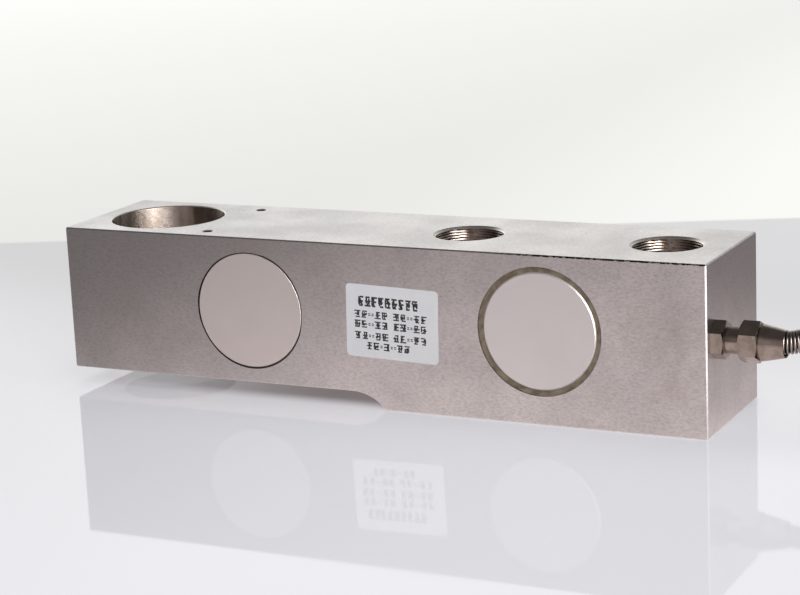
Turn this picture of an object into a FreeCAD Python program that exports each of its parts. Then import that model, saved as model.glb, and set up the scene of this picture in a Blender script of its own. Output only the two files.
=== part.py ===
import FreeCAD, Part
import math
import os

# Single-ended shear beam load cell.  Millimetres, +X along the beam towards the cable, +Z up.
# The origin is the middle of the mounting pad's underside, halfway between the two mounting holes.
# The front face, with the two round covers and the label, looks along -Y.

# ---- beam -------------------------------------------------------------------------------------
beam_width = 61.0
beam_height = 66.7
end_to_bore = 31.75            # load end to load bore
bore_to_hole = 139.7           # load bore to the nearer mounting hole
hole_spacing = 82.55           # between the two mounting holes
hole_to_end = 25.4             # outer mounting hole to cable end
edge_break = 0.5               # chamfer on the outer edges
pad_length = 133.35            # the part of the underside that is bolted down
relief_depth = 6.7             # clearance under the free end
relief_radius = 19.05          # cutter radius where the relief runs out

load_bore_diameter = 47.6
load_bore_chamfer = 0.4
mounting_hole_diameter = 27.0
mounting_hole_chamfer = 1.0
tapped_hole_drill = 4.2        # two M5 holes beside the load bore
tapped_hole_mouth = 5.2
tapped_hole_depth = 12.0
tapped_hole_from_bore = 32.45
tapped_hole_from_side = 8.2
drill_point_angle = 118.0

# ---- strain gauge pockets -----------------------------------------------------------------------
bore_to_gauges = 54.8          # load bore to the gauge pockets
web_thickness = 12.7           # metal left between the front and rear pocket
gauge_pocket_fillet = 2.0
gauge_cover_diameter = 47.0
gauge_ledge_width = 2.0        # that a gauge cover rests on, round its pocket
gauge_cover_thickness = 2.5
gauge_cover_gap = 0.35         # radial gap round a gauge cover
gauge_cover_edge = 0.15
gauge_sealant_recess = 0.4     # sealant surface below the beam's face

gauge_length, gauge_height, gauge_thickness = 12.0, 10.0, 0.12
grid_length, grid_width, grid_thickness = 6.0, 2.6, 0.05
coating_margin = 1.5
coating_thickness = 1.6
terminal_offset = 10.5         # gauge centre to terminal strip
terminal_length, terminal_height, terminal_thickness = 5.0, 10.0, 0.25
terminal_columns = 2.6         # between the two columns of solder domes
solder_radius = 0.6
wire_spread = 2.4              # between neighbouring solder domes
web_hole_offset = 16.0         # gauge centre to the wire hole through the web
web_hole_diameter = 3.4

# ---- wiring pocket ------------------------------------------------------------------------------
wiring_seat_diameter = 50.8
wiring_sealant_width = 2.3     # round the wiring cover
wiring_ledge_width = 4.4       # from the seat's edge to the pocket's
wiring_pocket_depth = 15.0
wiring_cover_thickness = 2.4
wiring_cover_recess = 0.15     # cover face below the beam's face
wiring_cover_edge = 0.5
wiring_sealant_recess = 0.45

board_clearance = 6.0          # radial, in the wiring pocket
board_thickness = 1.2
board_pad_margin = 3.0
board_pad_thickness = 0.8
board_pin_margin = 6.0         # from the board's edge to each row of pins
board_pin_radius = 0.7
resistor_length, resistor_width, resistor_height = 3.2, 1.6, 0.7
resistor_spacing = 2.8
compensator_diameter = 2.2
compensator_length = 7.0

wire_diameter = 0.7            # bridge wires
wire_gap = 1.2                 # between wires that run side by side
wire_passage_diameter = 4.0

# ---- cable gland --------------------------------------------------------------------------------
gland_from_front = 8.7         # gland axis behind the front face
gland_thread_diameter = 10.0
gland_thread_length = 9.0
thread_clearance = 0.05
body_hex_flats = 13.0
body_hex_length = 5.2
neck_length = 9.8
hex_chamfer = 0.6
o_ring_section = 1.0
o_ring_clearance = 0.05
seal_taper_length = 4.0
seal_mouth_diameter = 8.6
seal_collar_length = 1.0
washer_thickness = 0.8
nut_hex_flats = 14.0
nut_start = 10.8               # nut's inner end beyond the beam's end face
nut_hex_length = 7.3
nut_groove_length = 0.75
nut_groove_depth = 0.75
nut_cone_length = 8.65
nut_cone_diameter = 13.9
nut_tip_diameter = 10.3
nut_shoulder_length = 7.7      # from the washer to the spring's seat

spring_diameter = 8.8
spring_pitch = 1.28
spring_rib_depth = 0.55
spring_root_turns = 3
spring_turns = 20
spring_seat_clearance = 0.1
spring_lean_up = 14.0          # degrees above level
spring_lean_back = 20.0        # degrees towards the rear face
spring_pivot = 1.0             # where the spring leans, beyond the nut's mouth

# ---- cable --------------------------------------------------------------------------------------
cable_diameter = 6.0
cable_clearance = 0.25         # radial, in the gland and in the spring
cable_passage_clearance = 0.75
ferrule_length = 2.6
ferrule_wall = 1.1
jacket_inset = 3.0             # jacket end inside the wiring pocket
core_diameter = 1.2
core_offset = 0.85             # each core's distance from the cable's axis, along Y and along Z
core_pin_spread = 2.4

# free stretch from the spring to the hank, after the three points that the gland gives
cable_points = (
    (150.0, -3.0, 43.2),
    (174.0, 7.0, 37.0),
    (194.0, 16.5, 29.5),
    (214.0, 22.0, 25.9),
)

# the put-away length, folded into a flat hank of turns that lie beside and on each other
hank_centre = (194.0, 0.0)
hank_run = 103.0               # straight stretch of a turn, between its two folds
hank_layers = (4, 3, 4, 3)     # turns in each layer, from the bottom
hank_inner_turn = 18.0         # radius of the innermost turn at its folds
hank_turn_pitch = 6.0
hank_layer_pitch = 5.3
tie_places = ((-1, -24.0), (-1, 24.0), (1, 40.0))   # side of the hank, and place along its run
tie_width = 3.6
tie_thickness = 1.0
tie_head_length = 5.0
tie_head_width = 4.4
tie_head_depth = 3.0

# tail of the cable, along the hank's inner wall and then down the slot in its middle
tail_points = (
    (150.0, 12.05, 3.0),
    (166.0, 11.0, 3.0),
    (182.0, 6.6, 3.0),
    (198.0, 2.4, 3.3),
    (212.0, 1.0, 3.7),
)
sleeve_length = 12.0
sleeve_overlap = 5.0           # on the jacket
sleeve_wall = 0.5
core_fan = (                   # node, across, up, length beyond the jacket, where its end lies
    ("core_red", core_offset, core_offset, 34.0, 13.0),
    ("core_black", core_offset, -core_offset, 31.0, 6.5),
    ("core_green", -core_offset, core_offset, 33.0, -7.5),
    ("core_white", -core_offset, -core_offset, 30.0, -13.0),
    ("core_shield", 0.0, 0.0, 38.0, -0.6),
)

# ---- label --------------------------------------------------------------------------------------
label_width, label_height, label_thickness = 40.0, 29.5, 0.15
label_corner = 1.7
label_x, label_z = -62.1, 35.7
label_turn = -1.7              # degrees, as it was stuck on

# ---- places that follow from the sizes ----------------------------------------------------------
front_y = -beam_width / 2
rear_y = beam_width / 2
near_hole_x = -hole_spacing / 2
far_hole_x = hole_spacing / 2
bore_x = near_hole_x - bore_to_hole
load_end_x = bore_x - end_to_bore
cable_end_x = far_hole_x + hole_to_end
pad_start_x = cable_end_x - pad_length
gauge_x = bore_x + bore_to_gauges
axis_z = (relief_depth + beam_height) / 2
gland_y = front_y + gland_from_front

gauge_pocket_diameter = gauge_cover_diameter - 2 * gauge_ledge_width
wiring_cover_diameter = wiring_seat_diameter - 2 * wiring_sealant_width
wiring_pocket_diameter = wiring_seat_diameter - 2 * wiring_ledge_width
board_diameter = wiring_pocket_diameter - 2 * board_clearance
board_pad_diameter = board_diameter - 2 * board_pad_margin
board_pin_offset = board_diameter / 2 - board_pin_margin
cable_radius = cable_diameter / 2
gland_bore_radius = cable_radius + cable_clearance
gauge_seat_radius = gauge_cover_diameter / 2 + gauge_cover_gap
wiring_seat_depth = wiring_cover_recess + wiring_cover_thickness
wiring_floor_y = front_y + wiring_pocket_depth
board_top_y = wiring_floor_y - board_pad_thickness - board_thickness
pin_top_y = board_top_y - board_pin_radius
jacket_end_x = wiring_pocket_diameter / 2 - jacket_inset

neck_end_x = cable_end_x + body_hex_length + neck_length
washer_x = neck_end_x + seal_collar_length
shoulder_x = washer_x + washer_thickness
spring_seat_x = shoulder_x + nut_shoulder_length
cone_start_x = cable_end_x + nut_start + nut_hex_length + nut_groove_length
nut_tip_x = cone_start_x + nut_cone_length
spring_pivot_x = nut_tip_x + spring_pivot

X = FreeCAD.Vector(1, 0, 0)
Y = FreeCAD.Vector(0, 1, 0)
Z = FreeCAD.Vector(0, 0, 1)


def vec(x, y, z):
    return FreeCAD.Vector(x, y, z)


# ---- form helpers -------------------------------------------------------------------------------
def polygon_face(points):
    return Part.Face(Part.makePolygon(list(points) + [points[0]]))


def turned(profile, origin, axis, outward):
    """Solid of revolution from (distance along the axis, radius) pairs."""
    points = [origin + axis * along + outward * radius for along, radius in profile]
    return polygon_face(points).revolve(origin, axis, 360)


def cylinder(radius, start, axis, length):
    return Part.makeCylinder(radius, length, start, axis)


def ring(inner, outer, start, axis, length):
    return cylinder(outer, start, axis, length).cut(cylinder(inner, start, axis, length))


def box(low, high):
    size = high - low
    return Part.makeBox(size.x, size.y, size.z, low)


def fused(shapes):
    shapes = list(shapes)
    whole = shapes[0].multiFuse(shapes[1:]) if len(shapes) > 1 else shapes[0]
    return whole.removeSplitter()


def rounded_plate(width, height, corner, thickness):
    """Plate in the XZ plane, centred, from y = 0 to y = thickness."""
    plate = Part.makeBox(width, thickness, height, vec(-width / 2, 0, -height / 2))
    upright = [e for e in plate.Edges if abs(e.BoundBox.YLength - thickness) < 1e-6]
    return plate.makeFillet(corner, upright)


def hex_prism(flats, start, length):
    """Hexagon bar along +X, with two flats facing -Y and +Y."""
    corner = flats / math.sqrt(3)
    angles = [math.radians(90 + 60 * k) for k in range(6)]
    points = [start + Y * (corner * math.cos(a)) + Z * (corner * math.sin(a)) for a in angles]
    return polygon_face(points).extrude(X * length)


def route_wire(points, share=0.45):
    """Straight runs joined by tangent arcs, with each arc's radius."""
    points = [FreeCAD.Vector(*p) for p in points]
    edges, radii = [], []
    here = points[0]
    for before, corner, after in zip(points, points[1:], points[2:]):
        into = (corner - before).normalize()
        out = (after - corner).normalize()
        half_turn = into.getAngle(out) / 2
        shorter = min((corner - before).Length, (after - corner).Length)
        tangent = share * shorter
        radius = tangent / math.tan(half_turn)
        arc_start = corner - into * tangent
        arc_end = corner + out * tangent
        inward = (out - into).normalize()
        middle = corner + inward * (radius / math.cos(half_turn) - radius)
        edges.append(Part.LineSegment(here, arc_start).toShape())
        edges.append(Part.Arc(arc_start, middle, arc_end).toShape())
        radii.append(radius)
        here = arc_end
    edges.append(Part.LineSegment(here, points[-1]).toShape())
    return Part.Wire(edges), radii


def route_tube(points, radius, share=0.45):
    wire, radii = route_wire(points, share)
    start, towards = FreeCAD.Vector(*points[0]), FreeCAD.Vector(*points[1])
    section = Part.Wire(Part.makeCircle(radius, start, towards - start))
    tube = wire.makePipeShell([section], True, False)
    return tube, wire.Length, radii


def report_route(name, tube, length, radii, radius):
    expected = math.pi * radius**2 * length
    listed = " ".join(f"{r:.1f}" for r in radii)
    print(f"{name}: length {length:.1f}, volume / section x length "
          f"{tube.Volume / expected:.4f}, arc radii {listed}")


# ---- beam ---------------------------------------------------------------------------------------
def beam_outline():
    """Side view of the bar: flat pad, relief under the free end, round run-out between them."""
    run_out = math.sqrt(relief_radius**2 - (relief_radius - relief_depth)**2)
    relief_end_x = pad_start_x - run_out
    centre_z = relief_depth - relief_radius
    half = math.asin(run_out / relief_radius) / 2
    middle = vec(relief_end_x + relief_radius * math.sin(half), front_y,
                 centre_z + relief_radius * math.cos(half))
    relief_left = vec(load_end_x, front_y, relief_depth)
    relief_right = vec(relief_end_x, front_y, relief_depth)
    pad_left = vec(pad_start_x, front_y, 0)
    pad_right = vec(cable_end_x, front_y, 0)
    top_right = vec(cable_end_x, front_y, beam_height)
    top_left = vec(load_end_x, front_y, beam_height)
    return Part.Wire([
        Part.LineSegment(relief_left, relief_right).toShape(),
        Part.Arc(relief_right, middle, pad_left).toShape(),
        Part.LineSegment(pad_left, pad_right).toShape(),
        Part.LineSegment(pad_right, top_right).toShape(),
        Part.LineSegment(top_right, top_left).toShape(),
        Part.LineSegment(top_left, relief_left).toShape(),
    ])


def beam_bar():
    bar = Part.Face(beam_outline()).extrude(Y * beam_width)
    broken = []
    for edge in bar.Edges:
        box_ = edge.BoundBox
        across = abs(box_.YLength - beam_width) < 1e-6
        at_an_end = min(abs(box_.XMin - load_end_x), abs(box_.XMin - cable_end_x)) < 1e-6
        if not across or at_an_end:
            broken.append(edge)
    return bar.makeChamfer(edge_break, broken)


def hole_cutter(x, y, radius, bottom, top, chamfer):
    """Upright through hole with a chamfer at both mouths."""
    over = 1.0
    wide = radius + chamfer + over
    profile = ((bottom - over, 0), (bottom - over, wide), (bottom + chamfer, radius),
               (top - chamfer, radius), (top + over, wide), (top + over, 0))
    return turned(profile, vec(x, y, 0), Z, X)


def tapped_hole_cutter(x, y):
    drill = tapped_hole_drill / 2
    mouth = tapped_hole_mouth / 2
    point = drill / math.tan(math.radians(drill_point_angle / 2))
    over = 1.0
    bottom = beam_height - tapped_hole_depth
    profile = ((bottom - point, 0), (bottom, drill), (beam_height - (mouth - drill), drill),
               (beam_height + over, mouth + over), (beam_height + over, 0))
    return turned(profile, vec(x, y, 0), Z, X)


def gauge_pocket_cutter(face_y, into):
    """Stepped round pocket from one face down to the web, with a filleted floor."""
    over = 1.0
    depth = (beam_width - web_thickness) / 2
    radius = gauge_pocket_diameter / 2
    fillet = gauge_pocket_fillet
    start = vec(gauge_x, face_y, axis_z)
    seat = cylinder(gauge_seat_radius, start - into * over, into, gauge_cover_thickness + over)
    well = cylinder(radius, start, into, depth)
    floor_edge = [e for e in well.Edges
                  if e.Curve.TypeId == "Part::GeomCircle"
                  and abs(e.Curve.Center.y - (start + into * depth).y) < 1e-6]
    return seat.fuse(well.makeFillet(fillet, floor_edge))


def wiring_pocket_cutter():
    over = 1.0
    start = vec(0, front_y, axis_z)
    seat = cylinder(wiring_seat_diameter / 2, start - Y * over, Y, wiring_seat_depth + over)
    well = cylinder(wiring_pocket_diameter / 2, start, Y, wiring_pocket_depth)
    return seat.fuse(well)


def passage_cutters():
    """Gland hole and cable passage from the end face, wire passage on to the gauge pocket."""
    gland = vec(cable_end_x, gland_y, axis_z)
    thread = cylinder(gland_thread_diameter / 2 + thread_clearance, gland, -X,
                      gland_thread_length + 1.0)
    o_ring_seat = cylinder(o_ring_radius() + o_ring_section / 2 + o_ring_clearance, gland, -X,
                           o_ring_section + 2 * o_ring_clearance)
    cable = cylinder(cable_radius + cable_passage_clearance, gland, -X, cable_end_x)
    wires = cylinder(wire_passage_diameter / 2, vec(0, gland_y, axis_z), -X, -gauge_x)
    return [thread, o_ring_seat, cable, wires]


def make_beam():
    tapped_x = bore_x + tapped_hole_from_bore
    cutters = [
        hole_cutter(bore_x, 0, load_bore_diameter / 2, relief_depth, beam_height,
                    load_bore_chamfer),
        hole_cutter(near_hole_x, 0, mounting_hole_diameter / 2, 0, beam_height,
                    mounting_hole_chamfer),
        hole_cutter(far_hole_x, 0, mounting_hole_diameter / 2, 0, beam_height,
                    mounting_hole_chamfer),
        tapped_hole_cutter(tapped_x, front_y + tapped_hole_from_side),
        tapped_hole_cutter(tapped_x, rear_y - tapped_hole_from_side),
        gauge_pocket_cutter(front_y, Y),
        gauge_pocket_cutter(rear_y, -Y),
        wiring_pocket_cutter(),
        cylinder(web_hole_diameter / 2, vec(gauge_x + web_hole_offset, -web_thickness, axis_z), Y,
                 2 * web_thickness),
    ]
    return beam_bar().cut(cutters + passage_cutters())


# ---- covers and their sealant -------------------------------------------------------------------
def cover(radius, thickness, edge, x, face_y, into):
    profile = ((0, 0), (0, radius - edge), (edge, radius), (thickness, radius), (thickness, 0))
    return turned(profile, vec(x, face_y, axis_z), into, X)


def make_gauge_cover(face_y, into):
    return cover(gauge_cover_diameter / 2, gauge_cover_thickness, gauge_cover_edge, gauge_x,
                 face_y, into)


def make_gauge_sealant(face_y, into):
    start = vec(gauge_x, face_y, axis_z) + into * gauge_sealant_recess
    return ring(gauge_cover_diameter / 2, gauge_seat_radius, start, into,
                gauge_cover_thickness - gauge_sealant_recess)


def make_wiring_cover():
    return cover(wiring_cover_diameter / 2, wiring_cover_thickness, wiring_cover_edge, 0,
                 front_y + wiring_cover_recess, Y)


def make_wiring_sealant():
    start = vec(0, front_y + wiring_sealant_recess + wiring_cover_edge, axis_z)
    length = wiring_seat_depth - wiring_sealant_recess - wiring_cover_edge
    return ring(wiring_cover_diameter / 2, wiring_seat_diameter / 2, start, Y, length)


# ---- strain gauges, their coating and terminals ---------------------------------------------------
def make_gauge(side):
    """Foil gauge bonded to the web: a backing sheet with two grids at 45 degrees each way."""
    floor = vec(gauge_x, side * web_thickness / 2, axis_z)
    backing = box(vec(-gauge_length / 2, 0, -gauge_height / 2),
                  vec(gauge_length / 2, gauge_thickness, gauge_height / 2))
    grids = []
    for lean in (45, -45):
        grid = box(vec(-grid_length / 2, 0, -grid_width / 2),
                   vec(grid_length / 2, gauge_thickness + grid_thickness, grid_width / 2))
        grid.rotate(vec(0, 0, 0), Y, lean)
        grid.translate(vec(math.copysign(gauge_length / 4, lean), 0, 0))
        grids.append(grid.common(box(vec(-gauge_length / 2, 0, -gauge_height / 2),
                                     vec(gauge_length / 2, 1, gauge_height / 2))))
    gauge = fused([backing] + grids)
    if side < 0:
        gauge = gauge.mirror(vec(0, 0, 0), Y)
    gauge.translate(floor)
    return gauge


def make_coating(side, gauge):
    """Soft moisture barrier moulded over one gauge."""
    pad = rounded_plate(gauge_length + 2 * coating_margin, gauge_height + 2 * coating_margin,
                        coating_margin, coating_thickness)
    if side < 0:
        pad = pad.mirror(vec(0, 0, 0), Y)
    pad.translate(vec(gauge_x, side * web_thickness / 2, axis_z))
    return pad.cut(gauge)


def wire_rows(count, spread):
    return [spread * (k - (count - 1) / 2) for k in range(count)]


def make_terminals(side, columns):
    """Solder terminal strip beside a gauge, with a dome of solder for every wire."""
    floor_y = side * web_thickness / 2
    centre_x = gauge_x + terminal_offset
    top_y = floor_y + side * terminal_thickness
    strip = box(vec(centre_x - terminal_length / 2, min(floor_y, top_y),
                    axis_z - terminal_height / 2),
                vec(centre_x + terminal_length / 2, max(floor_y, top_y),
                    axis_z + terminal_height / 2))
    domes = []
    for across in columns:
        for up in wire_rows(4, wire_spread):
            centre = vec(centre_x + across, top_y, axis_z + up)
            dome = Part.makeSphere(solder_radius, centre)
            domes.append(dome.common(box(centre - vec(1, 1, 1) if side < 0 else
                                         centre - vec(1, 0, 1),
                                         centre + vec(1, 0, 1) if side < 0 else
                                         centre + vec(1, 1, 1))))
    return fused([strip] + domes)


def dome_top(side):
    return side * (web_thickness / 2 + terminal_thickness + solder_radius)


def wire_lane(k):
    """Place of wire k in a bundle of four, so that no two wires cross: (layer, side)."""
    layer = 1 if k in (0, 3) else -1
    across = -1 if k < 2 else 1
    return layer * wire_gap / 2, across * wire_gap / 2


def make_rear_wires():
    """Four wires from the rear gauge, through the hole in the web, to the front terminals."""
    rear_x = gauge_x + terminal_offset
    front_x = gauge_x + terminal_offset + terminal_columns / 2
    hole_x = gauge_x + web_hole_offset
    wires = []
    for k, up in enumerate(wire_rows(4, wire_spread)):
        layer, across = wire_lane(k)
        rise = 4.6 - layer
        points = (
            (rear_x, dome_top(1), axis_z + up),
            (rear_x, dome_top(1) + rise, axis_z + up),
            (hole_x - layer, dome_top(1) + rise, axis_z + across),
            (hole_x - layer, dome_top(-1) - rise, axis_z + across),
            (front_x, dome_top(-1) - rise, axis_z + up),
            (front_x, dome_top(-1), axis_z + up),
        )
        wires.append(route_tube(points, wire_diameter / 2)[0])
    return Part.makeCompound(wires)


def make_bridge_wires():
    """Four wires from the front terminals through the drilled passage to the board."""
    start_x = gauge_x + terminal_offset - terminal_columns / 2
    passage_start_x = gauge_x + gauge_pocket_diameter / 2
    passage_end_x = -wiring_pocket_diameter / 2
    lead = 4.0
    wires = []
    for k, up in enumerate(wire_rows(4, wire_spread)):
        layer, across = wire_lane(k)
        lane_y = gland_y - layer
        points = (
            (start_x, dome_top(-1), axis_z + up),
            (start_x, lane_y, axis_z + up),
            (passage_start_x - lead, lane_y, axis_z + across),
            (passage_end_x + lead, lane_y, axis_z + across),
            (-board_pin_offset, lane_y, axis_z + up),
            (-board_pin_offset, pin_top_y, axis_z + up),
        )
        wires.append(route_tube(points, wire_diameter / 2)[0])
    return Part.makeCompound(wires)


# ---- compensation board -------------------------------------------------------------------------
def make_board_pad():
    return cylinder(board_pad_diameter / 2, vec(0, wiring_floor_y - board_pad_thickness, axis_z),
                    Y, board_pad_thickness)


def make_board():
    return cylinder(board_diameter / 2, vec(0, board_top_y, axis_z), Y, board_thickness)


def make_board_pins():
    """Solder domes where the bridge wires and the cable's cores end."""
    pins = []
    rows = [(-board_pin_offset, up) for up in wire_rows(4, wire_spread)]
    rows += [(board_pin_offset, up) for up in wire_rows(5, core_pin_spread)]
    for x, up in rows:
        centre = vec(x, board_top_y, axis_z + up)
        pins.append(Part.makeSphere(board_pin_radius, centre, Y * -1))
    below = box(vec(-board_diameter, board_top_y, axis_z - board_diameter),
                vec(board_diameter, board_top_y + 2, axis_z + board_diameter))
    return Part.makeCompound([pin.cut(below) for pin in pins])


def make_trim_resistors():
    chips = []
    for up in wire_rows(4, resistor_spacing):
        low = vec(-resistor_length / 2, board_top_y - resistor_height,
                  axis_z + up - resistor_width / 2)
        chips.append(box(low, low + vec(resistor_length, resistor_height, resistor_width)))
    return Part.makeCompound(chips)


def make_compensator():
    """Nickel-wire resistor that corrects the output for temperature."""
    height = axis_z + board_diameter / 2 - 3.5
    return cylinder(compensator_diameter / 2,
                    vec(-compensator_length / 2, board_top_y - compensator_diameter / 2, height),
                    X, compensator_length)


def make_inner_cores():
    """The cable's four cores and shield wire, from the jacket's end to the board's pins."""
    places = ((core_offset, -core_offset), (-core_offset, -core_offset), (0, 0),
              (-core_offset, core_offset), (core_offset, core_offset))
    lead = 3.0
    cores = []
    for up, (layer, across) in zip(wire_rows(5, core_pin_spread), places):
        lane_y = gland_y - layer
        points = [
            (jacket_end_x, lane_y, axis_z + across),
            (jacket_end_x - lead, lane_y, axis_z + across),
            (board_pin_offset, lane_y, axis_z + up),
            (board_pin_offset, pin_top_y, axis_z + up),
        ]
        if across == 0 and up == 0:
            points.pop(1)
        cores.append(route_tube(points, core_diameter / 2 * 0.8)[0])
    return Part.makeCompound(cores)


# ---- cable gland --------------------------------------------------------------------------------
def on_gland_axis(x):
    return vec(x, gland_y, axis_z)


def o_ring_radius():
    return gland_thread_diameter / 2 + o_ring_clearance + o_ring_section / 2


def make_o_ring():
    place = on_gland_axis(cable_end_x - o_ring_section / 2 - o_ring_clearance)
    return Part.makeTorus(o_ring_radius(), o_ring_section / 2, place, X)


def chamfered_hex(flats, start_x, length, chamfer_start, chamfer_end):
    """Hexagon whose corners are turned down to a cone at one or both ends."""
    corner = flats / math.sqrt(3)
    run_start = hex_chamfer if chamfer_start else 0
    run_end = hex_chamfer if chamfer_end else 0
    drop = corner - flats / 2
    profile = ((0, 0), (0, corner - drop * bool(run_start)), (run_start, corner + 0.01),
               (length - run_end, corner + 0.01), (length, corner - drop * bool(run_end)),
               (length, 0))
    if not run_start:
        profile = profile[:1] + ((0, corner + 0.01),) + profile[3:]
    turned_bar = turned(profile, on_gland_axis(start_x), X, Z)
    return hex_prism(flats, on_gland_axis(start_x), length).common(turned_bar)


def make_gland_body():
    radius = gland_thread_diameter / 2
    shank = cylinder(radius, on_gland_axis(cable_end_x - gland_thread_length), X,
                     gland_thread_length + body_hex_length + neck_length)
    hexagon = chamfered_hex(body_hex_flats, cable_end_x, body_hex_length, False, True)
    bore_length = gland_thread_length + body_hex_length + neck_length
    start = on_gland_axis(cable_end_x - gland_thread_length)
    bore = turned(((-1, 0), (-1, gland_bore_radius),
                   (bore_length - seal_taper_length, gland_bore_radius),
                   (bore_length, seal_mouth_diameter / 2), (bore_length + 1, seal_mouth_diameter / 2),
                   (bore_length + 1, 0)), start, X, Z)
    return fused([shank, hexagon]).cut(bore)


def make_seal_bush():
    """Rubber bush that the nut squeezes onto the cable."""
    inner = cable_radius
    nose = gland_bore_radius
    mouth = seal_mouth_diameter / 2
    profile = ((0.3, inner), (0.3, nose), (seal_taper_length, mouth - 0.1),
               (seal_taper_length + seal_collar_length, mouth - 0.1),
               (seal_taper_length + seal_collar_length, inner))
    return turned(profile, on_gland_axis(neck_end_x - seal_taper_length), X, Z)


def make_thrust_washer():
    outer = gland_thread_diameter / 2 - 0.2
    return ring(gland_bore_radius, outer, on_gland_axis(washer_x), X, washer_thickness)


def make_gland_nut():
    """Hexagon, narrow groove and cone in one turned piece, with the spring's seat in its tip."""
    start_x = cable_end_x + nut_start
    hexagon = chamfered_hex(nut_hex_flats, start_x, nut_hex_length, True, True)
    groove_radius = nut_cone_diameter / 2 - nut_groove_depth
    profile = ((0, 0), (0, groove_radius), (nut_groove_length + 0.01, groove_radius),
               (nut_groove_length + 0.01, nut_cone_diameter / 2),
               (nut_groove_length + nut_cone_length, nut_tip_diameter / 2),
               (nut_groove_length + nut_cone_length, 0))
    cone = turned(profile, on_gland_axis(start_x + nut_hex_length), X, Z)
    thread = cylinder(gland_thread_diameter / 2 + thread_clearance, on_gland_axis(start_x - 1), X,
                      shoulder_x - start_x + 1)
    bore = cylinder(gland_bore_radius, on_gland_axis(start_x), X, nut_tip_x - start_x + 1)
    seat_radius = spring_diameter / 2 + spring_seat_clearance
    flare = (nut_tip_diameter / 2 - seat_radius) * 0.7
    seat_length = nut_tip_x - spring_seat_x
    seat = turned(((0, 0), (0, seat_radius), (seat_length - 2 * flare, seat_radius),
                   (seat_length, seat_radius + flare), (seat_length + 1, seat_radius + flare),
                   (seat_length + 1, 0)), on_gland_axis(spring_seat_x), X, Z)
    return fused([hexagon, cone]).cut([thread, bore, seat])


def spring_direction():
    up = math.radians(spring_lean_up)
    back = math.radians(spring_lean_back)
    return vec(math.cos(up) * math.cos(back), math.cos(up) * math.sin(back), math.sin(up))


def ribbed_rod(start, axis, turns, outward):
    """Close-wound turns as a rod with one round-shouldered rib for each turn."""
    crest = spring_diameter / 2
    root = crest - spring_rib_depth
    profile = [(0, 0), (0, root)]
    for k in range(turns):
        profile.append(((k + 0.5) * spring_pitch, crest))
        profile.append(((k + 1) * spring_pitch, root))
    profile.append((turns * spring_pitch, 0))
    return turned(profile, start, axis, outward)


def make_spring(route):
    """Close-wound guard spring: its root sits in the nut and the rest leans with the cable."""
    lean = spring_direction()
    root_start = on_gland_axis(spring_seat_x + spring_seat_clearance)
    root = ribbed_rod(root_start, X, spring_root_turns, Z)
    outward = lean.cross(Y).normalize()
    free = ribbed_rod(on_gland_axis(spring_pivot_x), lean, spring_turns, outward)
    bore = route_tube(route[:4], gland_bore_radius)[0]
    return fused([root, free]).cut(bore)


# ---- cable --------------------------------------------------------------------------------------
def cable_route():
    spring_end = on_gland_axis(spring_pivot_x) + spring_direction() * (
        spring_turns * spring_pitch + 4.4)
    gland_points = [on_gland_axis(shoulder_x), on_gland_axis(spring_pivot_x), spring_end]
    return [tuple(p) for p in gland_points] + list(cable_points)


def make_lead_in():
    """The stretch of cable that the beam and the gland hold."""
    return cylinder(cable_radius, on_gland_axis(jacket_end_x), X, shoulder_x - jacket_end_x)


def make_ferrule():
    """Crimped ring that keeps the jacket from being pulled out of the wiring pocket."""
    return ring(cable_radius, cable_radius + ferrule_wall, on_gland_axis(jacket_end_x), X,
                ferrule_length)


def hank_section(extra):
    """Outline round all the turns of one side, in the XZ plane with X as the turns' radius."""
    half_widths = [(count - 1) / 2 * hank_turn_pitch for count in hank_layers]
    heights = [tie_thickness + cable_radius + k * hank_layer_pitch for k in range(len(hank_layers))]
    middle = hank_inner_turn + max(half_widths)
    widest = len(half_widths) - 1 - half_widths[::-1].index(max(half_widths))
    picked = sorted({0, widest, len(half_widths) - 1})
    right = [(middle + half_widths[k], heights[k]) for k in picked]
    left = [(middle - half_widths[k], heights[k]) for k in reversed(picked)]
    centres = polygon_face([vec(x, 0, z) for x, z in right + left])
    return centres.makeOffset2D(cable_radius + extra)


def make_hank():
    """Outer shape of the folded turns: two straight runs and a fold at each end."""
    section = hank_section(0)
    half_run = hank_run / 2
    pieces = []
    for side in (1, -1):
        fold = section.copy()
        fold.rotate(vec(0, 0, 0), Z, -90 * side)
        fold = fold.revolve(vec(0, 0, 0), Z, 180)
        fold.translate(X * (half_run * side))
        run = section.copy()
        run.rotate(vec(0, 0, 0), Z, 90 * side)
        run = run.extrude(X * hank_run)
        run.translate(X * -half_run)
        pieces += [fold, run]
    hank = fused(pieces)
    hank.translate(vec(hank_centre[0], hank_centre[1], 0))
    return hank


def make_ties():
    """Nylon ties round a side of the hank: a flat band, and a square head on top."""
    ties = []
    for side, along in tie_places:
        band = hank_section(tie_thickness).cut(hank_section(0))
        band.rotate(vec(0, 0, 0), Z, 90 * side)
        band = band.extrude(X * tie_width)
        band.translate(X * (along - tie_width / 2))
        box_round = band.BoundBox
        middle = (box_round.YMin + box_round.YMax) / 2
        head = box(vec(along - tie_head_length / 2, middle - tie_head_width / 2,
                       box_round.ZMax - tie_thickness / 2),
                   vec(along + tie_head_length / 2, middle + tie_head_width / 2,
                       box_round.ZMax + tie_head_depth))
        tie = fused([band, head])
        tie.translate(vec(hank_centre[0], hank_centre[1], 0))
        ties.append(tie)
    return ties


def tail_direction():
    last, before = FreeCAD.Vector(*tail_points[-1]), FreeCAD.Vector(*tail_points[-2])
    return (last - before).normalize()


def make_end_sleeve():
    along = tail_direction()
    start = FreeCAD.Vector(*tail_points[-1]) - along * sleeve_overlap
    return ring(cable_radius, cable_radius + sleeve_wall, start, along, sleeve_length)


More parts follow.
